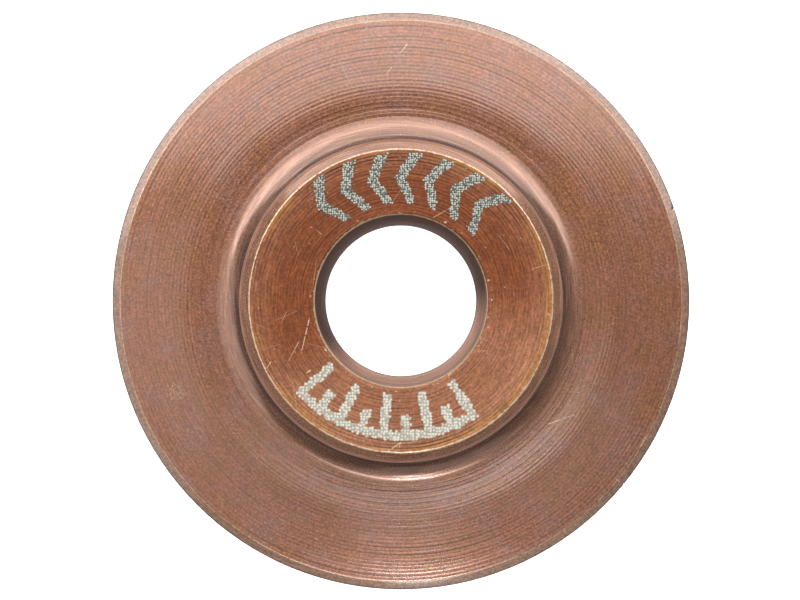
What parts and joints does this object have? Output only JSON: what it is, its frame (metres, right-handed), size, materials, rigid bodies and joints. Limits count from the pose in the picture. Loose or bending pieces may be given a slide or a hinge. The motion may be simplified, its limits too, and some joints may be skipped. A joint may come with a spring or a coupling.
{
  "type": "cutting wheel",
  "caption": "Round pipe cutter wheel turned from one piece of browned steel, with a long plain hub, a straight pin bore, a thin disc that tapers outwards and a bevelled cutting edge.",
  "frame": {"origin": "the wheel's centre: on the bore's axis, in the plane of the cutting edge", "axes": "+Z along the bore's axis, towards the hub face that the picture shows; X and Y in the plane of the cutting edge"},
  "size_m": [0.032, 0.032, 0.018],
  "materials": {
    "browned_steel": "fine concentric turning marks under a thin bronze-brown finish, bright where corners are worn"
  },
  "bodies": {
    "root": {"cutter_wheel": "browned_steel"}
  },
  "joints": []
}
